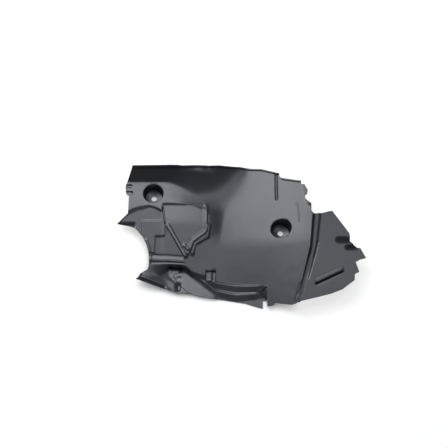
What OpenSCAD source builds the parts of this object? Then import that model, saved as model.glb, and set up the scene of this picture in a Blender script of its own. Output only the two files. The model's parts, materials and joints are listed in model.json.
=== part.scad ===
// Wheel arch liner, front section, one moulding.
// It lies as it rests on a table: tyre side up, +X along the arch, +Y towards the far edge.
// The origin is the middle of the right fixing hole, on the underside of its well floor.

/* [Overall] */
// Length along the arch, over both ends
liner_l = 611; // [600:1:620]
// Width across the arch, over both edges
liner_w = 375.5; // [370:0.5:382]

/* [Shell] */
// Thickness of the moulded wall
wall = 2.5; // [2:0.1:3.5]
// Radius of the arch on the tyre side
arch_r = 380; // [340:5:450]
// Distance of the arch's lowest line to the left of the right well
trough_x = 120; // [100:5:140]
// Radius of the bend behind the front edge
roll_r = 400; // [300:20:600]
// Distance of the start of that bend in front of the right well
roll_y = 15; // [0:5:30]
// Length of the bend, after which the front edge runs straight down
roll_run = 35; // [25:1:45]

/* [Fixing wells] */
// Depth of a well from its mouth to its floor
well_depth = 31; // [26:1:36]
// Radius of a well at its floor
well_r = 22; // [18:0.5:24]
// Draft of the well wall, as a growth of its radius over the depth
well_draft = 3; // [1:0.5:4]
// Diameter of the fixing hole in a well floor
well_hole_d = 14; // [8:0.5:18]
// Distance of the left well from the right one, along the arch
well_gap_x = 318; // [300:1:330]
// Distance of the left well from the right one, across the arch
well_gap_y = 96; // [88:1:104]

/* [Left panel] */
// Height of the step down from the well panel to the lower panel
step_h = 2.4; // [1.6:0.2:5]
// Slope of the lower panel towards the front, in millimetres a metre
panel_fall = 70; // [40:5:90]
// Radius of the cut-out for the strut
strut_r = 115; // [105:1:120]
// Height of the far wall over the well panel
far_wall_h = 39; // [28:1:45]
// Width of a stiffening bead at its foot
bead_w = 8; // [6:0.5:10]
// Height of a stiffening bead
bead_h = 2.6; // [1.8:0.2:3.6]
// Height of the stepped pad beside the cut-out
pad_h = 1.8; // [1:0.2:3]
// Width of the two blind recesses in the left edge
edge_slot_w = 8; // [5:0.5:10]
// Length of the two blind recesses in the left edge
edge_slot_l = 20; // [12:1:24]

/* [Front flange] */
// Diameter of the hole in the front flange
flange_hole_d = 9; // [6:0.5:12]
// Width of the open slot beside the lip corner
lip_slot_w = 11; // [8:0.5:14]
// Width of the sunk clip tray, which is square
clip_w = 25; // [20:1:28]
// Height of the tray floor over the rest plane
clip_z = 5; // [4:0.5:6]
// Width of the dark window under the lower panel
window_w = 38; // [30:1:40]
// Depth of the blind pocket behind that window
window_l = 24; // [18:1:26]
// Rise of the lip towards its outer end, in millimetres a metre
lip_rise = 40; // [20:5:60]
// Tilt of the lip and of the bright strip, in millimetres a metre
lip_tilt = 80; // [60:5:100]
// Rise of the leaf towards its horn, in millimetres a metre
leaf_rise = 110; // [90:5:130]
// Depth of the turned-down edge of the left leaf
leaf_edge_h = 6; // [4:0.5:7]

/* [Right wing] */
// Depth of the valley between the shell and the wing
valley_h = 2.6; // [1.5:0.1:4]
// Slope of the wing away from the shell, in millimetres a metre
wing_fall = 30; // [10:5:50]
// Slope of the wing towards the front, in millimetres a metre
wing_lean = 85; // [70:5:100]
// Depth of the two edge pockets of the wing
pocket_h = 7; // [4:0.5:10]
// Width of the long groove in the wing
wing_slot_w = 6; // [4:0.5:8]

/* [Grooves and rim] */
// Depth of the short groove at the far edge
groove_h = 1.6; // [0.8:0.1:1.7]
// Width of the short groove at the far edge
groove_w = 9; // [6:0.5:12]
// Height of the rim along the far edge
rim_h = 4; // [2:0.5:6]

/* [Hidden] */

// Trimmed edge of the moulding as drawn, clockwise from the top left corner
far_drawn = [[-369, 157], [-330, 157], [-300, 155.9], [-275, 155.9], [-262, 156], [-251, 157],
    [-238, 159.2], [-225, 159.1], [-212, 160.4], [-200, 161.6], [-188, 165], [-175, 164.3],
    [-160, 164.9], [-143, 167.9], [-120, 172.5], [-100, 176.9], [-46, 172], [-1, 155]];
right_drawn = [[-2, 147], [7, 136.2], [52, 122.2], [52, 112.1], [60, 111.7], [68, 95], [66, 84.3],
    [60, 78.9], [62, 70.1], [75, 56.8], [73, 36.3]];
wing_drawn = [[77, 29], [100, 31.6], [126, 38.6], [167, -20.1], [168, -37.5], [177, -50.6],
    [192, -57.3], [205, -82.6], [190, -86.8], [179, -93.2], [187, -117.7], [176, -123.2],
    [175, -138.4]];
front_drawn = [[145, -161.5], [118, -172.5], [89, -180.3], [43, -191.8], [22, -197.2],
    [-17, -187.8], [-22, -193.1], [-35, -195.2]];
lip_drawn = [[-47, -198.6], [-59, -195.9], [-89, -185.6], [-152, -180.7],
    [-172, -175.5], [-200, -169.8], [-224, -164], [-255, -164.5]];
leaf_drawn = [[-287, -154.3], [-354, -129.1]];
cut_drawn = [[-344, -113], [-329, -104], [-328, -98], [-367, 13]];
left_drawn = [[-406, 15.2], [-394, 28.8], [-380, 42.4], [-379, 91], [-387, 97.8], [-389, 116.1],
    [-384, 130]];
edge_drawn = concat(far_drawn, right_drawn, wing_drawn, front_drawn, lip_drawn, leaf_drawn, cut_drawn,
    left_drawn);

// The drawn edge and every drawn line stretch to the overall sizes
function span(points, k) = max([for (p = points) p[k]]) - min([for (p = points) p[k]]);
drawn_l = span(edge_drawn, 0);
drawn_w = span(edge_drawn, 1);
sx = liner_l / drawn_l;
sy = liner_w / drawn_w;
function drawn(points) = [for (p = points) [p[0] * sx, p[1] * sy]];
function drawn_across(points) = [for (p = points) [p[0] * sy, p[1] * sx]];

// Heights of the main surfaces over the rest plane
well_z = wall + well_depth;
low_z = well_z - step_h;
trough_z = well_z - (arch_r - sqrt(arch_r * arch_r - trough_x * trough_x));
left_well = [-well_gap_x, well_gap_y];
right_well = [0, 0];

// Lines across the shell, each as points [y, x]
riser_start = drawn_across([[-80, -236], [-35, -210], [-5, -176], [45, -178], [60, -205], [75, -280]]);
riser_end = drawn_across([[-80, -202], [-35, -177], [-5, -157], [45, -141], [72, -122], [110, -85]]);
fold_in = drawn_across([[-190, 30], [-150, 44], [-56, 68], [25, 76]]);
fold_out = drawn_across([[-190, 42], [-150, 57], [-56, 88], [25, 100]]);
leaf_line = drawn_across([[-150, -225], [-100, -275]]);
tab_line = drawn_across([[35, 74], [62, 58], [125, 51]]);

// Lines along the shell, each as points [x, y]
crease = drawn([[-326, -88], [-236, -93], [-217, -108], [-185, -112], [-160, -130], [-102, -137],
    [-34, -141]]);
lip_line = drawn([[-326, -98], [-250, -101], [-236, -105], [-200, -132], [-155, -162], [-102, -172],
    [-34, -178]]);

// Places that several features share
arch_peak = [-338 * sx, 61 * sy];
arch_flat = 122;
jog_x = -294 * sx;
jog_w = 4;
arch_side = [-180 * sx, 85 * sx];
panel_y = 66 * sy;
panel_side = [-300 * sx, -284 * sx];
step_w = 3;
fall_y = [60 * sy, 20 * sy];
far_y = 130 * sy;
far_edge_y = 157 * sy;
far_soft = [-290 * sx, -190 * sx];
far_soft_r = 50;
far_fade = [-240 * sx, -65 * sx];
flare_y = 147 * sy;
flare_in = [-262 * sx, -238 * sx];
flare_out = [-185 * sx, -150 * sx];
flare_share = 0.55;
channel_end = -36 * sx;
channel_wall = 6;
lip_x = -120 * sx;
lip_turn = [-190 * sx, -140 * sx];
lip_run = 20;
leaf_lean = 0.05;
leaf_soft = 40;
tab_y = [35 * sy, 60 * sy];
tab_fall = 0.5;
wing_z = 56;
wing_at = [98 * sx, 25 * sy];
strut_centre = [-440 * sx, -80 * sy];
slope_step = 4;
cut = 60;

function clamp(t) = min(1, max(0, t));
function ramp(a, b, t) = clamp((t - a) / (b - a));
function smooth(a, b, t) = let(k = ramp(a, b, t)) k * k * (3 - 2 * k);
function along(line, t) = lookup(t, line);
function mix(a, b, k) = a * (1 - k) + b * k;
function rounded(t, r) = t < -r ? 0 : t > r ? t : pow(t + r, 2) / (4 * r);

// Tyre side of the arch: a cylinder whose front bends down and runs on straight
function roll(y) = let(past = max(0, -roll_y - y), bent = min(past, roll_run))
    bent * bent / (2 * roll_r) + (past - bent) * roll_run / roll_r;
function arch(x, y) = let(dx = min(max(x, arch_side[0]), arch_side[1]) + trough_x)
    trough_z + arch_r - sqrt(arch_r * arch_r - dx * dx) - roll(y);

// Left panel: the well panel, and a lower panel behind an arched step
function step_y(x) = x < jog_x ? arch_peak[1] - pow(x - arch_peak[0], 2) / arch_flat : panel_y;
function jog_y(x) = mix(step_y(jog_x - jog_w), panel_y, ramp(jog_x - jog_w / 2, jog_x + jog_w / 2, x));
function step_line(x) = abs(x - jog_x) < jog_w / 2 ? jog_y(x) : step_y(x);
function fall_line(x) =
    min(step_line(x) - step_w, mix(fall_y[0], fall_y[1], ramp(panel_side[0], panel_side[1], x)));
function low(x, y) = low_z - max(0, fall_line(x) - y) * panel_fall / 1000;
function panel(x, y) = mix(low(x, y), well_z, ramp(step_line(x), step_line(x) + step_w, y));

// Far wall: crisp at the left, then flared and faded into the arch to the right
function far_rise(x, y) = let(
    r = mix(1, far_soft_r, smooth(far_soft[0], far_soft[1], x)),
    flare = smooth(flare_in[0], flare_in[1], x) * (1 - smooth(flare_out[0], flare_out[1], x)))
    rounded(y - far_y, r) - flare_share * flare * max(0, y - flare_y);
function far_wall(x, y) =
    (1 - smooth(far_fade[0], far_fade[1], x)) * far_rise(x, y) * far_wall_h / (far_edge_y - far_y);
function body(x, y) =
    mix(panel(x, y), arch(x, y), smooth(along(riser_start, y), along(riser_end, y), x)) + far_wall(x, y);

// Front channel, lip, the bright strip beside it and the leaf
function lip(x, y) = let(
    turn = smooth(lip_turn[0], lip_turn[1], x),
    out = along(leaf_line, y) - x,
    tilt = mix(lip_tilt, -lip_tilt, turn) / 1000 - leaf_lean * smooth(0, leaf_soft, out),
    run = min(max(0, along(lip_line, x) - y), lip_run / max(turn, 0.4)))
    wall + tilt * run + lip_run * turn * lip_tilt / 1000
        + (max(0, lip_x - x) * lip_rise + max(0, out) * leaf_rise) / 1000;
function front(x, y) = let(c = along(crease, x), l = along(lip_line, x))
    y > c ? body(x, y) : mix(body(x, c), lip(x, y), ramp(c, l, y));
function shell(x, y) =
    mix(front(x, y), body(x, y), ramp(channel_end - channel_wall, channel_end, x));

// Right wing behind its valley, which goes down and up in two steps
function wing(x, y) = wing_z - ((x - wing_at[0]) * wing_fall + (wing_at[1] - y) * wing_lean) / 1000;
function valley(x, y) = let(
    a = along(fold_in, y), b = along(fold_out, y), k = ramp(a, b, x),
    down = 0.6 * ramp(0, 0.3, k) + 0.4 * ramp(0.7, 1, k))
    mix(shell(a, y), wing(b, y), down) - valley_h * (ramp(0, 0.3, k) - ramp(0.7, 1, k));
function tabs(x, y) = tab_fall * max(0, x - along(tab_line, y)) * ramp(tab_y[0], tab_y[1], y);
function height(x, y) = (x < along(fold_in, y) ? shell(x, y)
    : x < along(fold_out, y) ? valley(x, y) : wing(x, y)) - tabs(x, y);

// Unit vector out of the tyre side
function normal(x, y) = let(
    gx = (height(x + slope_step, y) - height(x - slope_step, y)) / (2 * slope_step),
    gy = (height(x, y + slope_step) - height(x, y - slope_step)) / (2 * slope_step))
    [-gx, -gy, 1] / sqrt(1 + gx * gx + gy * gy);

// Net of the shell: columns follow the lines across it, rows the lines along it
function steps(a, b, n) = [for (i = [0:n - 1]) mix(a, b, i / n)];
function tab_mark(y) = y < tab_y[0] ? along(fold_in, y) : along(tab_line, y);
function fold_mark(y, k) = mix(tab_mark(y), along(fold_out, y), k);
function columns(y) = let(
    marks = [-415 * sx, panel_side[0], jog_x - jog_w / 2, jog_x + jog_w / 2, panel_side[1],
        along(riser_start, y), along(riser_end, y), channel_end - channel_wall, channel_end,
        fold_mark(y, 0), fold_mark(y, 0.3), fold_mark(y, 0.7), fold_mark(y, 1), 215 * sx],
    parts = [6, 1, 1, 1, 3, 8, 5, 1, 6, 2, 1, 2, 6])
    concat([for (k = [0:len(parts) - 1]) each steps(marks[k], marks[k + 1], parts[k])], [215 * sx]);
function rows(x) = let(
    marks = [-225 * sy, along(lip_line, x), along(crease, x), -roll_y - roll_run, -roll_y, fall_line(x),
        step_line(x), step_line(x) + step_w, far_y, flare_y, 190 * sy],
    parts = [4, 2, 2, 3, 2, 2, 1, 5, 2, 3])
    concat([for (k = [0:len(parts) - 1]) each steps(marks[k], marks[k + 1], parts[k])], [190 * sy]);

// A body between two nets of points, each nx by ny, the first one above the second
module between_nets(top, under, nx, ny) {
    n = nx * ny;
    function id(i, j) = i * ny + j;
    function two(a, b, c, d) = [[a, b, c], [a, c, d]];
    faces = concat(
        [for (i = [0:nx - 2]) for (j = [0:ny - 2])
            each two(id(i, j), id(i, j + 1), id(i + 1, j + 1), id(i + 1, j))],
        [for (i = [0:nx - 2]) for (j = [0:ny - 2])
            each two(n + id(i, j), n + id(i + 1, j), n + id(i + 1, j + 1), n + id(i, j + 1))],
        [for (i = [0:nx - 2]) each two(id(i, 0), id(i + 1, 0), n + id(i + 1, 0), n + id(i, 0))],
        [for (i = [0:nx - 2])
            each two(id(i + 1, ny - 1), id(i, ny - 1), n + id(i, ny - 1), n + id(i + 1, ny - 1))],
        [for (j = [0:ny - 2]) each two(id(0, j + 1), id(0, j), n + id(0, j), n + id(0, j + 1))],
        [for (j = [0:ny - 2])
            each two(id(nx - 1, j), id(nx - 1, j + 1), n + id(nx - 1, j + 1), n + id(nx - 1, j))]);
    polyhedron(concat(top, under), faces, convexity = 8);
}

module shell_net() {
    middle = columns(0);
    net = [for (i = [0:len(middle) - 1]) let(line = rows(middle[i]))
        [for (y = line) [columns(y)[i], y]]];
    top = [for (c = net) for (p = c) [p[0], p[1], height(p[0], p[1])]];
    under = [for (c = net) for (p = c)
        [p[0], p[1], height(p[0], p[1])] - wall * normal(p[0], p[1])];
    between_nets(top, under, len(net), len(net[0]));
}

// A block under the shell, from the height lo up into its wall
module under_block(x0, x1, y0, y1, lo) {
    xs = concat(steps(x0, x1, 5), [x1]);
    ys = concat(steps(y0, y1, 10), [y1]);
    between_nets([for (x = xs) for (y = ys) [x, y, height(x, y) - 0.7 * wall]],
        [for (x = xs) for (y = ys) [x, y, lo]], len(xs), len(ys));
}

// Trimmed edge of the moulding, and the stretches of it that carry rims or end in horns
edge = drawn(edge_drawn);
leaf_edge = drawn(leaf_drawn);
right_edge = drawn(right_drawn);
cut_edge = drawn(cut_drawn);
far_edge = drawn(far_drawn);

module trim() {
    translate([0, 0, -cut]) linear_extrude(4 * cut) polygon(edge);
}

// Points every few millimetres along a path
function along_path(path, gap) = concat(
    [for (k = [0:len(path) - 2]) let(n = max(1, ceil(norm(path[k + 1] - path[k]) / gap)))
        each steps(path[k], path[k + 1], n)],
    [path[len(path) - 1]]);
function side(path, k) = let(
    a = path[max(0, k - 1)],
    b = path[min(len(path) - 1, k + 1)],
    d = (b - a) / norm(b - a))
    [-d[1], d[0]];

// A strip along a path, from lo to hi over the tyre side, narrowed to top_w at hi
module strip(path, foot_w, top_w, lo, hi, gap = 14) {
    p = along_path(path, gap);
    n = len(p);
    function at(q, h) = [q[0], q[1], height(q[0], q[1]) + h];
    rings = [for (k = [0:n - 1]) let(s = side(p, k), f = s * foot_w / 2, t = s * top_w / 2)
        each [at(p[k] - f, lo), at(p[k] + f, lo), at(p[k] + t, hi), at(p[k] - t, hi)]];
    walls = [for (k = [0:n - 2]) for (m = [0:3]) let(a = 4 * k + m, b = 4 * k + (m + 1) % 4)
        each [[a, a + 4, b + 4], [a, b + 4, b]]];
    ends = [[0, 1, 2], [0, 2, 3], [4 * n - 4, 4 * n - 2, 4 * n - 3], [4 * n - 4, 4 * n - 1, 4 * n - 2]];
    polyhedron(rings, concat(walls, ends), convexity = 6);
}

// One deep cup with a fixing hole, its mouth trimmed to the slope of the shell
module well_cup(place, slope) {
    translate([place[0], place[1], 0]) intersection() {
        cylinder(h = well_z + well_r, r1 = well_r + wall, r2 = well_r + wall + 2 * well_draft, $fn = 96);
        translate([0, 0, well_z - wall / 2]) rotate([0, -slope, 0])
            translate([-2 * cut, -2 * cut, -4 * cut]) cube([4 * cut, 4 * cut, 4 * cut]);
    }
}
module well_hollow(place) {
    translate([place[0], place[1], wall])
        cylinder(h = 2 * well_depth, r1 = well_r, r2 = well_r + 2 * well_draft, $fn = 96);
    translate([place[0], place[1], -1]) cylinder(h = well_depth, d = well_hole_d, $fn = 64);
}

// A raised bead with a flat top, its foot and top as shares of its width, and a groove with
// sloping sides
bead_foot = 1.08;
bead_top = 0.68;
module bead(path, w, h) strip(path, bead_foot * w, bead_top * w, -wall / 2, h);
module groove(path, w, d) strip(path, w / 4, w, -d, wall / 2);

// Stiffening beads of the left panel, one wider and two narrower ones, and the rim of the strut
// cut-out, which turns through these angles
wide = 1.25;
narrow = 0.9;
rim_turn = [-2:7:26];
bead_paths = [
    drawn([[-281, 12], [-238, -68]]),
    drawn([[-186, 66], [-186, -2], [-193, -9], [-218, -29], [-230, -61]]),
    drawn([[-178, 13], [-182, -17], [-211, -36], [-219, -63]]),
    drawn([[-238, -42], [-229, -52]])];
module beads() {
    for (path = bead_paths) bead(path, bead_w, bead_h);
    bead(drawn([[-322, -77], [-240, -82]]), wide * bead_w, groove_h);
    rim = [for (t = rim_turn) strut_centre + (strut_r + bead_w / 2) * [cos(t), sin(t)]];
    bead(rim, narrow * bead_w, groove_h / 2);
    bead(drawn([[84, -142], [146, -111]]), narrow * bead_w, groove_h);
}

// Stepped pad beside the strut cut-out, as two strips: middle line, ends and width of each
pad_upper = drawn([[-345, 2.5], [-287, 2.5]]);
pad_lower = drawn([[-337, -39.5], [-311, -39.5]]);
pad_upper_w = 41;
pad_lower_w = 43;
module stepped_pad() {
    strip(pad_upper, pad_upper_w, pad_upper_w, -wall / 2, pad_h);
    strip(pad_lower, pad_lower_w, pad_lower_w, -wall / 2, pad_h);
}

// Rim along the far edge, and the turned-down edges of the leaf and of the upper horn
horn_path = drawn([[-401, 17.5], [-371, 15.5]]);
module edge_flanges() {
    far_path = [for (p = far_edge) p - [0, wall]];
    strip(far_path, 2 * wall, wall, -wall / 2, rim_h);
    strip([right_edge[1] + [0, -wall], right_edge[2] + [-wall, -wall]], 2 * wall, wall, -wall / 2, rim_h);
    strip([leaf_edge[0] + [0, wall], leaf_edge[1] + [4 * wall, wall]], wall, wall, -leaf_edge_h, -wall / 2);
    strip(horn_path, wall, wall, -leaf_edge_h, -wall / 2);
}

// Sunk clip tray at the end of the crease, with a deeper right side
clip_place = [-186 * sx, -128 * sy];
clip_split = 16;
module clip_block() {
    under_block(clip_place[0] - wall, clip_place[0] + clip_w + wall,
        clip_place[1] - wall, clip_place[1] + clip_w + wall, 0);
}
module clip_hollow() {
    translate([clip_place[0], clip_place[1], clip_z]) cube([clip_split + 1, clip_w, cut]);
    translate([clip_place[0] + clip_split, clip_place[1], wall]) cube([clip_w - clip_split, clip_w, cut]);
}

// Blind pocket behind the window in the front wall, under the lower panel
window_place = [-279 * sx, -100.5 * sy];
window_z = 4.5;
window_top = 20;
module window_block() {
    under_block(window_place[0] - wall, window_place[0] + window_w + wall,
        window_place[1] - wall, window_place[1] + window_l + wall, window_z - wall);
}
module window_hollow() {
    translate([window_place[0], window_place[1], window_z])
        cube([window_w, window_l, window_top - window_z]);
}

// Flat seat around the hole in the front flange
flange_place = [-250.5 * sx, -122 * sy];
flange_z = height(flange_place[0], flange_place[1]);
seat_r = flange_hole_d;
seat_over = 1;
module flange_seat() {
    translate([flange_place[0], flange_place[1], flange_z - wall])
        cylinder(h = wall, r = seat_r + seat_over, $fn = 64);
}
module flange_cut() {
    translate([flange_place[0], flange_place[1], -cut]) cylinder(h = 2 * cut, d = flange_hole_d, $fn = 48);
    translate([flange_place[0], flange_place[1], flange_z]) cylinder(h = 2 * wall, r = seat_r, $fn = 64);
    translate([flange_place[0], flange_place[1], flange_z - 3 * wall])
        cylinder(h = 2 * wall, r = seat_r, $fn = 64);
}

// Struts that close the end of the front channel
knee_in = 14;
foot_in = 2;
module channel_struts() {
    end_x = channel_end - channel_wall / 2;
    knee = [end_x - knee_in, -155 * sy];
    strip([[end_x, -145 * sy], knee], 2 * wall, wall, -wall / 3, bead_h);
    strip([knee, [end_x - foot_in, -167 * sy]], 2 * wall, wall, -wall / 3, bead_h);
}

// Pockets in the outer edge of the wing
pocket_paths = [drawn([[139, -37], [161, -37.5]]), drawn([[160, -56], [174, -55.5]])];
pocket_widths = [12, 11];
module pocket_shells() {
    for (k = [0:1]) let(p = pocket_paths[k])
        strip([p[0] - [wall, 0], p[1] + [wall, 0]], pocket_widths[k] + 2 * wall,
            pocket_widths[k] + 2 * wall, -pocket_h - wall, -wall / 2, 100);
}
module pocket_hollows() {
    for (k = [0:1]) strip(pocket_paths[k], pocket_widths[k], pocket_widths[k], -pocket_h, cut, 100);
}

// Blind recesses in the left edge, the lip slot, and the grooves, two of them wider or narrower
edge_x = -387 * sx;
wide_groove = 1.3;
narrow_groove = 0.8;
slot_y = [-210 * sy, -178 * sy];
edge_slot_y = [3, 21];
module cuts() {
    for (up = edge_slot_y) let(y = left_well[1] + up)
        strip([[edge_x - edge_slot_w, y], [edge_x + edge_slot_l, y]],
            edge_slot_w, edge_slot_w, -groove_h, cut);
    translate([channel_end - lip_slot_w, slot_y[0], -cut]) cube([lip_slot_w, slot_y[1] - slot_y[0], 2 * cut]);
    groove(drawn([[82, -149], [146, -118]]), wing_slot_w, groove_h);
    groove(drawn([[-9, 82], [-9, 165]]), groove_w, groove_h);
    groove(drawn([[39, 58], [41, 12]]), wide_groove * groove_w, groove_h / 2);
    groove(drawn([[42, -150], [30, -192]]), groove_w, groove_h / 2);
    groove(drawn([[-293, 56], [-287, 14]]), narrow_groove * groove_w, groove_h);
    groove(drawn([[-318, -66], [-244, -71]]), groove_w / 2, groove_h / 2);
    groove(drawn([[-324, -84], [-240, -87]]), groove_w / 2, groove_h / 2);
}

// Round side of the strut cut-out, between its two horns
module strut_cut() {
    low_horn = cut_edge[2] - [1, 0];
    high_horn = cut_edge[3] - [1, 0];
    inner_x = low_horn[0] + strut_r / 3;
    intersection() {
        translate([strut_centre[0], strut_centre[1], -cut]) cylinder(h = 4 * cut, r = strut_r, $fn = 128);
        translate([0, 0, -cut]) linear_extrude(4 * cut)
            polygon([low_horn, high_horn, [inner_x, high_horn[1]], [inner_x, low_horn[1]]]);
    }
}

// The whole liner, one moulding
module arch_liner() {
    color([0.20, 0.20, 0.21]) difference() {
        union() {
            intersection() {
                shell_net();
                trim();
            }
            well_cup(left_well, 0);
            well_cup(right_well, asin(trough_x / arch_r));
            beads();
            stepped_pad();
            edge_flanges();
            clip_block();
            window_block();
            flange_seat();
            channel_struts();
            pocket_shells();
        }
        well_hollow(left_well);
        well_hollow(right_well);
        clip_hollow();
        window_hollow();
        flange_cut();
        pocket_hollows();
        cuts();
        strut_cut();
    }
}

arch_liner();
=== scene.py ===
"""Looks of a wheel arch liner: one black moulding lying on a pale studio floor, tyre side up."""
import bmesh
import bpy
import json
import math
import numpy as np
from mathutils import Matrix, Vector, geometry, kdtree


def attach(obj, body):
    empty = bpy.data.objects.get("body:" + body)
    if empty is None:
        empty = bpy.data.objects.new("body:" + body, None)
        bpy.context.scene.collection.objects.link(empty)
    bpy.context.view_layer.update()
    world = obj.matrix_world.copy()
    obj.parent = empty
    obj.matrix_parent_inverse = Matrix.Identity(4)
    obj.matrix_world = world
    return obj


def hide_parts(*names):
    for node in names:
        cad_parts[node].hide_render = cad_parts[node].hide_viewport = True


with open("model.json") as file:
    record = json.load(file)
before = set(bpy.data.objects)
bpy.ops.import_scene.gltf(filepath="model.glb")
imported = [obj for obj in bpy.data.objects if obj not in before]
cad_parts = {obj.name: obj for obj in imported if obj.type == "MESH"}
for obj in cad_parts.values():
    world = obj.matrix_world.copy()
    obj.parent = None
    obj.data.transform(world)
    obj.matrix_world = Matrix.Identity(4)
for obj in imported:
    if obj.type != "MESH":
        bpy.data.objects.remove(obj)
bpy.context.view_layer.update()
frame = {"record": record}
scene = bpy.context.scene
MM = 0.001

# Camera
# A long lens looks down on the tyre side. Its aim puts the right fixing hole, which is the
# origin of the part, on the same place of the image as in the photograph.
LENS = 85.0
SENSOR = 36.0
IMAGE = 448
MM_PER_PIXEL = 2.5
CAMERA_ELEVATION = math.radians(66)
CAMERA_REACH = 50
AIM = Vector((-0.14075, 0.0217, 0.01216))

camera = bpy.data.objects.new("camera", bpy.data.cameras.new("camera"))
scene.collection.objects.link(camera)
scene.camera = camera
camera.data.lens = LENS
camera.data.sensor_width = SENSOR
camera.data.clip_end = CAMERA_REACH
back = Vector((0, -math.cos(CAMERA_ELEVATION), math.sin(CAMERA_ELEVATION)))
camera.location = AIM + back * (MM_PER_PIXEL * MM * IMAGE * LENS / SENSOR)
camera.rotation_mode = "QUATERNION"
camera.rotation_quaternion = (-back).to_track_quat("-Z", "Y")


def linear(hex_colour):
    """An sRGB hex colour as linear RGBA."""
    parts = [int(hex_colour[i:i + 2], 16) / 255 for i in (1, 3, 5)]
    return [c / 12.92 if c < 0.04045 else ((c + 0.055) / 1.055) ** 2.4 for c in parts] + [1.0]


def node(tree, kind, sockets=None, **settings):
    """Adds one node. Settings are its properties or input values by name, and sockets are inputs
    by name or number, each with the output that feeds it or a value."""
    made = tree.nodes.new(kind)
    for name, value in settings.items():
        if hasattr(made, name):
            setattr(made, name, value)
        else:
            made.inputs[name.replace("_", " ")].default_value = value
    for name, source in (sockets or {}).items():
        if isinstance(source, bpy.types.NodeSocket):
            tree.links.new(source, made.inputs[name])
        else:
            made.inputs[name].default_value = source
    return made


# Studio
# A white sweep and one large softbox behind the left side, as in a parts catalogue. The flat
# areas mirror that softbox, two small ones serve the gentle leans, and steeper leans stay dark.
SOFTBOXES = [
    ("large softbox", (3.0, 1.8), (-1.36, 1.56, 1.8), 105.0),
    ("front softbox", (2.6, 0.34), (-0.5, 0.37, 1.8), 5.6),
    ("right softbox", (0.55, 0.4), (0.42, 0.32, 1.8), 3.8),
]
FILL = 0.30
FLOOR = 12.0
# Painted shade on the floor: reach, power and samples of the ambient occlusion that dims the camera's
# white glow.
PAINTED_SHADE_REACH = 0.03
PAINTED_SHADE_POWER = 1.5
PAINTED_SHADE_SAMPLES = 8

scene.view_settings.view_transform = "Standard"
scene.world = bpy.data.worlds.new("studio")
scene.world.use_nodes = True
sky = scene.world.node_tree
sky.nodes.clear()
seen = node(sky, "ShaderNodeLightPath")
fill = node(sky, "ShaderNodeBackground", Color=linear("#ffffff"), Strength=FILL)
white = node(sky, "ShaderNodeBackground", Color=linear("#ffffff"), Strength=1.0)
both = node(sky, "ShaderNodeMixShader",
            {0: seen.outputs["Is Camera Ray"], 1: fill.outputs[0], 2: white.outputs[0]})
node(sky, "ShaderNodeOutputWorld", {"Surface": both.outputs[0]})

for name, size, place, power in SOFTBOXES:
    softbox = bpy.data.objects.new(name, bpy.data.lights.new(name, "AREA"))
    scene.collection.objects.link(softbox)
    softbox.data.shape = "RECTANGLE"
    softbox.data.size, softbox.data.size_y = size
    softbox.data.energy = power
    softbox.data.color = linear("#f6f8ff")[:3]
    softbox.location = place

# White matt paper: the eye gets an even white ground from a glow that only the camera sees, with a
# painted soft grey shade close under the edges, where ambient occlusion dims that glow as deep as the
# object covers the paper.
floor_corners = [(-FLOOR, -FLOOR, 0), (FLOOR, -FLOOR, 0), (FLOOR, FLOOR, 0), (-FLOOR, FLOOR, 0)]
floor = bpy.data.objects.new("floor", bpy.data.meshes.new("floor"))
scene.collection.objects.link(floor)
floor.data.from_pydata(floor_corners, [], [(0, 1, 2, 3)])
paper = bpy.data.materials.new("white paper sweep")
paper.use_nodes = True
tree = paper.node_tree
tree.nodes.clear()
seen = node(tree, "ShaderNodeLightPath")
matt = node(tree, "ShaderNodeBsdfDiffuse", Color=linear("#a0a0a0"))
# Painted shade: ambient occlusion, raised to a power, dims the camera's white glow close under the
# object.
open_sky = node(tree, "ShaderNodeAmbientOcclusion", samples=PAINTED_SHADE_SAMPLES, Distance=PAINTED_SHADE_REACH)
painted_shade = node(tree, "ShaderNodeMath", {0: open_sky.outputs["AO"], 1: PAINTED_SHADE_POWER}, operation="POWER")
painted_shade_strength = node(tree, "ShaderNodeMath", {0: seen.outputs["Is Camera Ray"], 1: painted_shade.outputs[0]},
           operation="MULTIPLY")
glow = node(tree, "ShaderNodeEmission", {"Strength": painted_shade_strength.outputs[0]}, Color=linear("#dcdcdc"))
both = node(tree, "ShaderNodeAddShader", {0: matt.outputs[0], 1: glow.outputs[0]})
node(tree, "ShaderNodeOutputMaterial", {"Surface": both.outputs[0]})
floor.data.materials.append(paper)

# Plastic
# Black polypropylene, injection moulded against a fine spark-eroded grain: the eye gets a
# semi-gloss black with soft broad reflections, which the slight waves of a thin wall bend.
plastic = bpy.data.materials.new("black moulded polypropylene")
plastic.use_nodes = True
tree = plastic.node_tree
tree.nodes.clear()
where = node(tree, "ShaderNodeTexCoord")
grain = node(tree, "ShaderNodeTexNoise", {"Vector": where.outputs["Object"]}, Scale=900.0, Detail=2.0)
waves = node(tree, "ShaderNodeTexNoise", {"Vector": where.outputs["Object"]}, Scale=14.0, Detail=2.0)
wavy = node(tree, "ShaderNodeBump", {"Height": waves.outputs[0]}, Strength=0.25, Distance=0.004)
grainy = node(tree, "ShaderNodeBump", {"Height": grain.outputs[0], "Normal": wavy.outputs[0]},
              Strength=0.15, Distance=0.0003)
surface = node(tree, "ShaderNodeBsdfPrincipled", {"Normal": grainy.outputs[0]},
               Base_Color=linear("#232429"), Roughness=0.29, IOR=1.5)
node(tree, "ShaderNodeOutputMaterial", {"Surface": surface.outputs[0]})


def ramp(a, b, t):
    return np.clip((t - a) / (b - a), 0, 1)


def smooth(a, b, t):
    k = ramp(a, b, t)
    return k * k * (3 - 2 * k)


def mix(a, b, k):
    return a * (1 - k) + b * k


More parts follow.
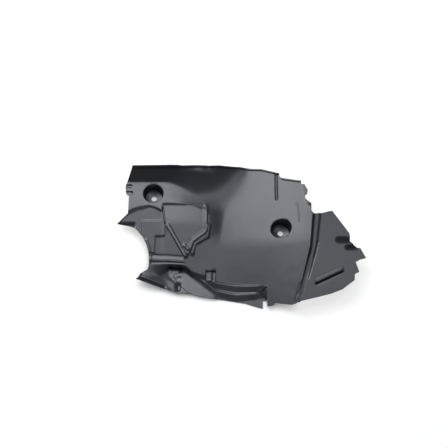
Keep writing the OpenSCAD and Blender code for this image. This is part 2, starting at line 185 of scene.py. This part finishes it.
def along(line, t, soft=6):
    """A line of points (t, value) read at t, with its corners rounded over a short stretch."""
    ts, values = zip(*line)
    return sum(np.interp(t + soft * k / 3, ts, values) for k in range(-3, 4)) / 7


def rounded(t, r):
    """max(0, t) with its corner rounded over r."""
    return np.where(t < -r, 0, np.where(t > r, t, (t + r) ** 2 / (4 * r)))


# Arch and far wall
# One wall of polypropylene, as heights of the tyre side over the floor in millimetres. The
# arch follows the tyre and rolls off to the front, and the far wall stands up behind it.
WALL = 2.5
WELL_DEPTH = 31
WELL_Z = WALL + WELL_DEPTH
ARCH_R = 380
ARCH_END = 85
TROUGH_X = 120
TROUGH_RUN = 60
TROUGH_Z = WELL_Z - (ARCH_R - math.sqrt(ARCH_R ** 2 - TROUGH_X ** 2))
ROLL_R = 400
ROLL_Y = 15
ROLL_RUN = 35
FAR_Y = 130
FAR_WALL_SLOPE = 39 / 27
FAR_WALL_END = (-240, -65)
CREASE_R = (3, 50)
CREASE_WIDENS = (-290, -190)
FLARE_Y = 147
FLARE_SHARE = 0.55
FLARE_START = (-262, -238)
FLARE_END = (-185, -150)


def roll(y):
    past = rounded(-ROLL_Y - y, r=1)
    curved = np.minimum(past, ROLL_RUN)
    return curved ** 2 / (2 * ROLL_R) + (past - curved) * ROLL_RUN / ROLL_R


def arch(x, y):
    dx = rounded(x + TROUGH_X + TROUGH_RUN, r=25) - TROUGH_RUN - rounded(x - ARCH_END, r=5)
    return TROUGH_Z + ARCH_R - np.sqrt(ARCH_R ** 2 - dx ** 2) - roll(y)


def far_wall(x, y):
    crease_r = mix(*CREASE_R, smooth(*CREASE_WIDENS, x))
    flared = smooth(*FLARE_START, x) * (1 - smooth(*FLARE_END, x))
    wall = rounded(y - FAR_Y, crease_r) - FLARE_SHARE * flared * rounded(y - FLARE_Y, r=3)
    return (1 - smooth(*FAR_WALL_END, x)) * FAR_WALL_SLOPE * wall


# Left panel
# The same wall, raised beside the strut: a flat around the left well, a curved step down in
# front of it, a panel that falls to the front, and a riser on the right up from the arch.
STEP_H = 2.4
STEP_RUN = (-0.4, 3.4)
STEP_PEAK = (-338, 61)
STEP_FLAT = 122
STEP_SOFT = 9
STEP_SOFT_END = (-344, -326)
JOG = (-296.5, -291.5)
PANEL_Y = 66
PANEL_FALL = 0.07
FALL_Y = (60, 20)
FALL_Y_TURN = (-300, -284)
BOW_X = -285
BOW_FLAT = 1900
RISER_START = [(-80, -236), (-35, -210), (-5, -176), (45, -178), (60, -205), (75, -280)]
RISER_END = [(-80, -170), (-35, -156), (-5, -148), (45, -141), (72, -130), (110, -103)]


def step_line(x):
    bow = STEP_PEAK[1] - (x - STEP_PEAK[0]) ** 2 / STEP_FLAT
    return mix(bow, PANEL_Y, smooth(*JOG, x))


def panel(x, y):
    fall_y = mix(*FALL_Y, smooth(*FALL_Y_TURN, x))
    low = WELL_Z - STEP_H - PANEL_FALL * rounded(fall_y - y, r=12)
    soft = STEP_SOFT * (1 - smooth(*STEP_SOFT_END, x))
    step = smooth(STEP_RUN[0] - soft, STEP_RUN[1], y - step_line(x))
    return mix(low, WELL_Z, step) - rounded(x - BOW_X, r=10) ** 2 / BOW_FLAT


def body(x, y):
    start, end = along(RISER_START, y), along(RISER_END, y)
    riser = (smooth(start, end, x) + ramp(start, end, x)) / 2
    return mix(panel(x, y), arch(x, y), riser) + far_wall(x, y)


# Front channel and lip
# Still the same wall: behind the front edge it falls in steps to a low lip, which turns up
# into a leaf at the left end and meets the arch again at the right one.
CREASE = [(-326, -88), (-236, -93), (-217, -108), (-185, -112), (-160, -130), (-102, -137), (-34, -141)]
LIP_LINE = [(-326, -134), (-298, -121), (-276, -101), (-250, -101), (-236, -105), (-200, -135),
            (-160, -170), (-113, -182), (-40, -174)]
LIP_X = -120
LIP_Y = -118
LIP_RISE = 0.015
LIP_TILT = 0.08
LIP_LEVELS = (-168, -145)
LEAF_LINE = [(-172, -211), (-133, -256), (-116, -276)]
LEAF_RISE = 0.25
LEAF_LEAN = 0.15
LEAF_TURN = (0, 40)
CHANNEL_END = -36
CHANNEL_WALL = 6
BEND_RUN = 2.5
BEND_SHARE = 0.45
CHANNEL_RIBS = 2
RIB_H = 2.9
RIB_TOP = 0.2
RIBS_START = (-205, -185)
RIBS_END = (-66, -54)


def crease_line(x):
    return along(CREASE, x, soft=4)


def lip_line(x):
    return along(LIP_LINE, x, soft=4)


def ribs(x, k):
    """The steps of the front channel: short rises, each with a long fall towards the viewer."""
    turn = np.clip(k, 0, 1) * CHANNEL_RIBS
    f = turn - np.floor(turn)
    rise = np.minimum(f / RIB_TOP, (1 - f) / (1 - RIB_TOP))
    return RIB_H * rise * smooth(*RIBS_START, x) * (1 - smooth(*RIBS_END, x)) * (k > 0) * (k < 1)


def shell(x, y):
    top, foot = crease_line(x), lip_line(x)
    out = along(LEAF_LINE, y) - x
    tilt = mix(LIP_TILT, 0, smooth(*LIP_LEVELS, x)) - LEAF_LEAN * smooth(*LEAF_TURN, out)
    lip = WALL + LIP_RISE * rounded(LIP_X - x, r=10) + LEAF_RISE * rounded(out, r=3)
    lip = lip + tilt * np.maximum(0, mix(foot, LIP_Y, 0.5) - y)
    k = (top - y) / (top - foot)
    bend = np.minimum(BEND_SHARE, BEND_RUN / (top - foot))
    eased = (rounded(k - bend, bend) - rounded(k - 1 + bend, bend)) / (1 - 2 * bend)
    channel = mix(body(x, np.maximum(y, top)), lip, np.clip(eased, 0, 1)) + ribs(x, k)
    sheet = np.where(y > top, body(x, y), channel)
    return mix(sheet, body(x, y), smooth(CHANNEL_END - CHANNEL_WALL, CHANNEL_END, x))


# Wing
# The flat right end of the same wall, beyond a sunk valley with two flanks that stiffens it
# as two fold lines. The tabs of the far right edge bend down from it.
WING_X = 98
WING_Y = 25
WING_Z = 56
WING_FALL = 0.03
WING_LEAN = 0.085
FOLD_IN = [(-190, 30), (-150, 44), (-56, 68), (25, 76)]
FOLD_OUT = [(-190, 42), (-150, 57), (-56, 88), (25, 100)]
DROP_SHARE = 0.6
FIRST_DROP = (0, 0.3)
LAST_DROP = (0.68, 1)
VALLEY_H = 2.6
VALLEY_IN = (0, 0.28)
VALLEY_OUT = (0.7, 1)
TAB_LINE = [(35, 74), (62, 58), (125, 51)]
TAB_FALL = 0.5
TABS_START = (35, 60)


def wing(x, y):
    return WING_Z - (x - WING_X) * WING_FALL - (WING_Y - y) * WING_LEAN


def height(x, y):
    a, b = along(FOLD_IN, y), along(FOLD_OUT, y)
    k = ramp(a, b, x)
    down = DROP_SHARE * smooth(*FIRST_DROP, k) + (1 - DROP_SHARE) * smooth(*LAST_DROP, k)
    sunk_by = VALLEY_H * (smooth(*VALLEY_IN, k) - smooth(*VALLEY_OUT, k))
    valley = mix(shell(a, y), wing(b, y), down) - sunk_by
    tabs = TAB_FALL * rounded(x - along(TAB_LINE, y), r=2) * smooth(*TABS_START, y)
    return np.where(x < a, shell(x, y), np.where(x < b, valley, wing(x, y))) - tabs


def arc(centre, r, a, b, n):
    """Points of an arc from angle a to angle b, in degrees."""
    turns = [math.radians(a + (b - a) * i / n) for i in range(n + 1)]
    return [(centre[0] + r * math.cos(t), centre[1] + r * math.sin(t)) for t in turns]


# Beads, pads, grooves and pockets
# All moulded into the same wall: raised stiffening beads and a stepped pad on the left panel,
# a rim along the far edge, fold lines beside the wing, and shallow pockets in the edges.
BEAD_W = 8
WIDE_BEAD_W = 10
BEAD_H = 2.6
LOW_BEAD_H = 1
LONG_BEAD_H = (1.62, 5.4)
BEAD_FLANK = (0.34, 0.54)
RIM_W = 2 * WALL
RIM_H = 3.5
LINE_W = 7
LINE_H = 1.4
GROOVE_W = 9
SLIT_W = 5
SUNK_FLANK = 0.55
POCKET_H = 7
PAD_H = 1.8
STRIP_H = 1.4
PAD_SOFT = 0.9
TRAY = [(-186, -128), (-161, -128), (-161, -103), (-186, -103)]
TRAY_Z = 5.8
TRAY_SOFT = 1.2
STRUT_R = 115
END_X = CHANNEL_END - CHANNEL_WALL / 2
bores = {m["name"]: m for m in frame["record"]["mounts"]}
WELLS = [[c / MM for c in bores[n]["pos_m"]] for n in ("right_fixing_hole", "left_fixing_hole")]
WELL_HOLE_R = bores["right_fixing_hole"]["dims"]["r_mm"]
FLANGE_HOLE = [c / MM for c in bores["flange_hole"]["pos_m"]]
FLANGE_HOLE_R = bores["flange_hole"]["dims"]["r_mm"]
STRUT = (WELLS[1][0] - 122, WELLS[1][1] - 176)
FAR_EDGE = [(-369, 156.1), (-330, 156.4), (-300, 156.6), (-275, 157), (-262, 157.2), (-251, 158),
            (-238, 160), (-225, 161), (-212, 162), (-200, 163.2), (-188, 164.8), (-175, 165.9),
            (-160, 167.3), (-143, 170), (-120, 173.4), (-100, 176), (-46, 170.4), (-1, 153.4)]

# Each raised form has its path, width, heights at both ends, and slope across it.
raised = [
    ([(-281, 12), (-235, -70)], WIDE_BEAD_W, *LONG_BEAD_H, -0.06),
    ([(-186, 66), (-186, -2), (-193, -9), (-218, -29), (-230, -61)], WIDE_BEAD_W, BEAD_H, BEAD_H, 0.12),
    ([(-178, 13), (-182, -17), (-211, -36), (-219, -63)], BEAD_W, BEAD_H, BEAD_H, 0),
    ([(-238, -42), (-229, -52)], BEAD_W, BEAD_H, BEAD_H, 0),
    ([(-322, -77), (-240, -82)], WIDE_BEAD_W, LOW_BEAD_H, LOW_BEAD_H, -0.03),
    ([(END_X, -145), (END_X - 14, -155), (END_X - 2, -168)], RIM_W, BEAD_H, BEAD_H, 0),
    ([(x, y - WALL) for x, y in FAR_EDGE], RIM_W, RIM_H, RIM_H, 0),
    ([(7, 135.5), (49.5, 119.5)], RIM_W, RIM_H, RIM_H, 0),
    ([(84, -142), (146, -111)], LINE_W, LINE_H, LINE_H, 0),
    (arc(STRUT, STRUT_R + 4, -2, 26, 12), LINE_W, LOW_BEAD_H, LOW_BEAD_H, 0),
]
# Each sunk form has its path, width and depth.
sunk = [
    ([(-9, 82), (-9, 165)], GROOVE_W, 3),
    ([(39, 58), (41, 12)], 12, 0.8),
    ([(42, -150), (30, -192)], BEAD_W, LINE_H / 2),
    ([(82, -149), (146, -118)], 6, 5),
    ([(89, -44), (82, -74), (64, -134)], 6, 1.6),
    ([(-293, 56), (-287, 14)], LINE_W, 2),
    ([(-318, -66), (-244, -71)], SLIT_W, 1),
    ([(-324, -85), (-240, -88)], SLIT_W, 0.6),
    ([(FLANGE_HOLE[0] - 1, FLANGE_HOLE[1]), (FLANGE_HOLE[0] + 1, FLANGE_HOLE[1])], 11, 2.5),
    ([(-406, 11), (-367, 12)], 14, 6),
    ([(140, -37), (175, -38)], 16, POCKET_H),
    ([(162, -56), (185, -55)], 14, POCKET_H),
    ([(-287, -147), (-352, -125), (-342, -113)], 9, 5),
    ([(-252, -150), (-252, -141)], 18, 5),
    ([(-166, -126), (-166, -105)], 13, 2.4),
]
# Each pad has its loop and its height.
pads = [
    ([(-345, 23), (-287, 23), (-287, -18), (-311, -18), (-311, -61), (-345, -61)], PAD_H),
    ([(-395, 93), (-370, 93), (-370, 102), (-395, 102)], -4),
    ([(-395, 113), (-372, 113), (-372, 120), (-395, 120)], -2.5),
    ([(-266, -113), (-251, -106), (-233, -108), (-158, -170), (-163, -182), (-211, -178),
      (-256, -133)], STRIP_H),
]


def reach(path, x, y):
    """Distance of points to a path, how far they lie on its left, and their share of its length."""
    best, side, way = np.full(np.shape(x), 1e9), np.zeros(np.shape(x)), np.zeros(np.shape(x))
    gone = 0
    whole = sum(math.dist(a, b) for a, b in zip(path, path[1:]))
    for (ax, ay), (bx, by) in zip(path, path[1:]):
        ux, uy = bx - ax, by - ay
        length = math.hypot(ux, uy)
        k = np.clip(((x - ax) * ux + (y - ay) * uy) / (ux * ux + uy * uy), 0, 1)
        far = np.hypot(x - ax - k * ux, y - ay - k * uy)
        side = np.where(far < best, (ux * (y - ay) - uy * (x - ax)) / length, side)
        way = np.where(far < best, (gone + k * length) / whole, way)
        gone += length
        best = np.minimum(best, far)
    return best, side, way


def inside(loop, x, y):
    """True for the points that lie within a closed loop."""
    odd = np.zeros(np.shape(x), bool)
    for (ax, ay), (bx, by) in zip(loop, loop[1:] + loop[:1]):
        if ay != by:
            odd ^= ((ay > y) != (by > y)) & (x < (bx - ax) * (y - ay) / (by - ay) + ax)
    return odd


def depth_in(loop, x, y):
    """How far points lie within a closed loop, negative outside it."""
    far = reach(loop + loop[:1], x, y)[0]
    return np.where(inside(loop, x, y), far, -far)


def moulded(x, y):
    """Height of the tyre side with everything that is moulded into it."""
    z = height(x, y)
    z = mix(z, np.minimum(z, TRAY_Z), smooth(0, TRAY_SOFT, depth_in(TRAY, x, y)))
    for path, width, first, last, tilt in raised:
        far, left, way = reach(path, x, y)
        flank = smooth(width * BEAD_FLANK[0], width * BEAD_FLANK[1], far)
        z = z + (mix(first, last, way) + tilt * left) * (1 - flank)
    for path, width, depth in sunk:
        z = z - depth * (1 - smooth(0, width * SUNK_FLANK, reach(path, x, y)[0]))
    for loop, rise in pads:
        z = z + rise * smooth(-PAD_SOFT, PAD_SOFT, depth_in(loop, x, y))
    return z


# Trimmed edge
# The moulding is trimmed to an uneven outline with tabs and notches. The strut cut-out is
# round between two horns, and a slot, a window, the holes and the wells go through the wall.
CUT_TOP = (-367, 13)
CUT_LOW = (-328, -98)
SLOT_W = 11
SLOT_X = CHANNEL_END - SLOT_W / 2
SLOT_Y = (-215, -178)
WINDOW = [(-276, -103), (-243, -107), (-243, -92), (-276, -90.5)]
WELL_RIM_R = 26.5
WELL_TURNS = 72
HOLE_TURNS = 32


def angle(centre, point):
    return math.degrees(math.atan2(point[1] - centre[1], point[0] - centre[0]))


right_edge = [(-2, 147), (7, 136.4), (52, 122.2), (52, 112.1), (60, 111.7), (68, 95), (66, 84.3),
              (60, 78.9), (62, 70.1), (75, 56.8), (73, 36.3)]
wing_edge = [(77, 29), (100, 31.6), (126, 38.6), (167, -20.1), (168, -37.5), (177, -50.6),
             (192, -57.3), (205, -82.6), (190, -86.8), (179, -93.2), (187, -117.7), (176, -123.2),
             (175, -138.4)]
front_edge = [(145, -161.5), (118, -172.5), (89, -180.3), (43, -191.8), (22, -197.2), (-17, -187.8),
              (-22, -193.1), (-35, -195.2)]
lip_edge = [(CHANNEL_END - SLOT_W, -198), (-59, -195), (-89, -185), (-152, -174.9), (-172, -173.2),
            (-200, -168.7), (-224, -162.1), (-255, -160.7)]
leaf_edge = [(-287, -148.3), (-354, -128.7), (-344, -113), (-329, -104)]
strut_edge = arc(STRUT, STRUT_R, angle(STRUT, CUT_LOW), angle(STRUT, CUT_TOP), 24)
left_edge = [(-405.8, 15.2), (-394, 28.8), (-380, 42.4), (-379, 91), (-387, 97.8), (-389, 116.1),
             (-384, 130)]
outline = FAR_EDGE + right_edge + wing_edge + front_edge + lip_edge + leaf_edge + strut_edge + left_edge


def slot_loop(a, b, width):
    """A straight slot from a to b, as four corners."""
    d = Vector(b) - Vector(a)
    s = Vector((-d.y, d.x)).normalized() * width / 2
    return [tuple(Vector(a) - s), tuple(Vector(b) - s), tuple(Vector(b) + s), tuple(Vector(a) + s)]


well_rims = [arc(w, WELL_RIM_R, 0, 360, WELL_TURNS)[:-1] for w in WELLS]
openings = well_rims + [
    slot_loop((SLOT_X, SLOT_Y[0]), (SLOT_X, SLOT_Y[1]), SLOT_W),
    WINDOW,
    arc(FLANGE_HOLE, FLANGE_HOLE_R, 0, 360, HOLE_TURNS)[:-1],
]

# Mesh of the wall
# Points on a fine net and along every bead, step and edge are joined into triangles, the
# trimmed ones are dropped, and the heights lift the sheet. The wells and the pocket follow.
NET = 3.2
NET_START = (-410, -200)
NET_END = (210, 190)
NET_ROW = 0.87
NET_CLEAR = 0.55
ROW_GAP = 2.5
EDGE_GAP = 3.0
ROW_CLEAR = 0.5
BEAD_ROWS = (-0.55, -0.42, -0.3, -0.15, 0, 0.15, 0.3, 0.42, 0.55)
PAD_ROWS = (-1.0, -0.35, 0.35, 1.0)
STEP_ROWS = (-0.4, 0.5, 1.5, 2.5, 3.4)
CREASE_ROWS = (-3, -1.5, 0, 1.5, 3)
CHANNEL_ROWS = (-2.4, -1.2, 0, 1.2, 2.4)
RIB_ROWS = 8 * CHANNEL_RIBS
FOLD_ROWS = (0, 0.08, 0.16, 0.24, 0.32, 0.5, 0.66, 0.74, 0.83, 0.92, 1)
SAME_PLACE = 0.05


def divided(path, gap):
    """Points along a path, no further apart than gap."""
    points = []
    for a, b in zip(path, path[1:]):
        n = max(1, math.ceil(math.dist(a, b) / gap))
        points += [(a[0] + (b[0] - a[0]) * i / n, a[1] + (b[1] - a[1]) * i / n) for i in range(n)]
    return points + [path[-1]]


def beside(path, offset):
    """The path moved sideways by offset."""
    moved = []
    for i, p in enumerate(path):
        a, b = Vector(path[max(0, i - 1)]), Vector(path[min(len(path) - 1, i + 1)])
        d = (b - a).normalized()
        moved.append((p[0] - d.y * offset, p[1] + d.x * offset))
    return moved


def thinned(candidates, near, clear):
    """The candidates that keep clear of the points taken before them."""
    tree = kdtree.KDTree(len(near))
    for i, p in enumerate(near):
        tree.insert((p[0], p[1], 0), i)
    tree.balance()
    return [p for p in candidates if tree.find((p[0], p[1], 0))[2] > clear]


rows = []
for path, width in [r[:2] for r in raised + sunk]:
    rows += [beside(divided(path, ROW_GAP), share * width) for share in BEAD_ROWS]
for loop in [p[0] for p in pads] + [TRAY]:
    rows += [beside(divided(loop + loop[:1], ROW_GAP), off) for off in PAD_ROWS]
for off in STEP_ROWS:
    rows.append([(x, float(step_line(x)) + off) for x in np.arange(-384, -190, 2.0)])
for off in CREASE_ROWS:
    rows.append([(x, FAR_Y + off) for x in np.arange(-388, -110, 3.0)])
for line in (crease_line, lip_line):
    for off in CHANNEL_ROWS:
        rows.append([(x, float(line(x)) + off) for x in np.arange(-330, CHANNEL_END, ROW_GAP)])
for share in np.arange(0, 1, 1 / RIB_ROWS):
    rows.append([(x, float(mix(crease_line(x), lip_line(x), share)))
                 for x in np.arange(-205, -50, ROW_GAP)])
for share in FOLD_ROWS:
    rows.append([(mix(float(along(FOLD_IN, y)), float(along(FOLD_OUT, y)), share), y)
                 for y in np.arange(-196, 40, ROW_GAP)])

points, edges = [], []
for loop in [outline] + openings:
    ring = divided(loop + loop[:1], EDGE_GAP)[:-1]
    first = len(points)
    points += ring
    edges += [(first + i, first + (i + 1) % len(ring)) for i in range(len(ring))]
edge_points = list(points)
for row in rows:
    points += thinned(row, edge_points, ROW_CLEAR)
xs = np.arange(NET_START[0], NET_END[0], NET)
ys = np.arange(NET_START[1], NET_END[1], NET * NET_ROW)
grid = [(float(x) + (NET / 2 if j % 2 else 0), float(y)) for j, y in enumerate(ys) for x in xs]
points += thinned(grid, points, NET * NET_CLEAR)

flat, _, faces, *_ = geometry.delaunay_2d_cdt([Vector(p) for p in points], edges, [], 0, 1e-4)
plan = np.array([tuple(v) for v in flat])
corners = np.array([tuple(f) for f in faces])
middle = plan[corners].mean(1)
keep = inside(outline, middle[:, 0], middle[:, 1])
for loop in openings:
    keep &= ~inside(loop, middle[:, 0], middle[:, 1])
lift = moulded(plan[:, 0], plan[:, 1])

bm = bmesh.new()
verts = [bm.verts.new((x * MM, y * MM, z * MM)) for (x, y), z in zip(plan, lift)]
for a, b, c in corners[keep]:
    bm.faces.new((verts[a], verts[b], verts[c]))
for v in [v for v in bm.verts if not v.link_faces]:
    bm.verts.remove(v)

# Wells and pocket
# Two deep cups with a draft, so that they leave the mould, each with a rounded rim and a hole
# in its dished floor for the screw. The window of the front wall opens into a blind pocket.
WELL_R = 22
WELL_DRAFT = 3
WELL_LIP = [(0.8, 0.25), (0.15, 0.9), (0, 2)]
WELL_CUP = [(WELL_R + 1.6, 16), (WELL_R + 0.3, 4.4), (WELL_R - 0.4, 3.2), (WELL_R - 2, 2.4),
            (WELL_HOLE_R + 3, 0.4), (WELL_HOLE_R, 0)]
WINDOW_DEPTH = 14
WINDOW_DROP = 4


def well(place):
    """A drafted cup from the mouth, with a rounded rim, down to its floor and its hole."""
    rings = []
    for x, y in arc(place, WELL_RIM_R, 0, 360, WELL_TURNS)[:-1]:
        rim = float(moulded(np.array(x), np.array(y)))
        mouth = WELL_R + WELL_DRAFT * (rim - WALL) / WELL_DEPTH
        profile = [(WELL_RIM_R, rim)] + [(mouth + out, rim - down) for out, down in WELL_LIP]
        profile += [(r, WALL + up) for r, up in WELL_CUP]
        dx, dy = (x - place[0]) / WELL_RIM_R, (y - place[1]) / WELL_RIM_R
        rings.append([bm.verts.new(((place[0] + dx * r) * MM, (place[1] + dy * r) * MM, z * MM))
                      for r, z in profile])
    for a, b in zip(rings, rings[1:] + rings[:1]):
        for i in range(len(a) - 1):
            bm.faces.new((a[i], a[i + 1], b[i + 1], b[i]))


def pocket(loop, depth, drop):
    """A blind pocket behind an opening of the front wall, running back under the panel."""
    ring = divided(loop + loop[:1], EDGE_GAP)[:-1]
    x, y = np.array(ring).T
    z = moulded(x, y)
    mouth = [bm.verts.new(Vector(p) * MM) for p in zip(x, y, z)]
    end = [bm.verts.new(Vector(p) * MM) for p in zip(x, y + depth, np.maximum(WALL, z - drop))]
    for i in range(len(ring)):
        j = (i + 1) % len(ring)
        bm.faces.new((mouth[i], end[i], end[j], mouth[j]))
    bm.faces.new(end)


for place in WELLS:
    well(place)
pocket(WINDOW, WINDOW_DEPTH, WINDOW_DROP)
bmesh.ops.remove_doubles(bm, verts=bm.verts, dist=SAME_PLACE * MM)
bmesh.ops.recalc_face_normals(bm, faces=bm.faces)
if sum(f.normal.z * f.calc_area() for f in bm.faces) < 0:
    bmesh.ops.reverse_faces(bm, faces=bm.faces)
mesh = bpy.data.meshes.new("tyre side")
bm.to_mesh(mesh)
bm.free()
for polygon in mesh.polygons:
    polygon.use_smooth = True
sheet = bpy.data.objects.new("tyre side", mesh)
scene.collection.objects.link(sheet)

# Thickness of the wall
# Every face is pushed through by the wall thickness against its own normal, and the two sides
# are closed along every trimmed edge, which makes the one moulding in its plastic.
SHARP = math.radians(50)

wall = bpy.data.node_groups.new("moulded wall", "GeometryNodeTree")
wall.interface.new_socket("Tyre side", in_out="INPUT", socket_type="NodeSocketGeometry")
thickness = wall.interface.new_socket("Wall thickness", in_out="INPUT", socket_type="NodeSocketFloat")
compound = wall.interface.new_socket("Compound", in_out="INPUT", socket_type="NodeSocketMaterial")
wall.interface.new_socket("Moulding", in_out="OUTPUT", socket_type="NodeSocketGeometry")
given = node(wall, "NodeGroupInput")
facing = node(wall, "GeometryNodeInputNormal")
inward = node(wall, "ShaderNodeMath", {0: given.outputs["Wall thickness"], 1: -1}, operation="MULTIPLY")
push = node(wall, "ShaderNodeVectorMath", {0: facing.outputs[0], "Scale": inward.outputs[0]},
            operation="SCALE")
pushed = node(wall, "GeometryNodeExtrudeMesh",
              {"Mesh": given.outputs["Tyre side"], "Offset": push.outputs[0]},
              mode="FACES", Individual=False, Offset_Scale=1)
turned = node(wall, "GeometryNodeFlipFaces", {"Mesh": pushed.outputs["Mesh"]})
sides = node(wall, "GeometryNodeJoinGeometry")
wall.links.new(turned.outputs[0], sides.inputs[0])
wall.links.new(given.outputs["Tyre side"], sides.inputs[0])
closed = node(wall, "GeometryNodeMergeByDistance", {"Geometry": sides.outputs[0]}, Distance=0.001 * MM)
real = node(wall, "GeometryNodeRealizeInstances", {"Geometry": closed.outputs[0]})
filled = node(wall, "GeometryNodeSetMaterial",
              {"Geometry": real.outputs[0], "Material": given.outputs["Compound"]})
node(wall, "NodeGroupOutput", {"Moulding": filled.outputs[0]})

rule = sheet.modifiers.new("wall", "NODES")
rule.node_group = wall
rule[thickness.identifier] = WALL * MM
rule[compound.identifier] = plastic
bpy.context.view_layer.update()
solid = bpy.data.meshes.new_from_object(sheet.evaluated_get(bpy.context.evaluated_depsgraph_get()))
bpy.data.objects.remove(sheet)
liner = bpy.data.objects.new("arch_liner_moulding", solid)
scene.collection.objects.link(liner)

liner.data.set_sharp_from_angle(angle=SHARP)
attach(liner, "root")
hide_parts("arch_liner")
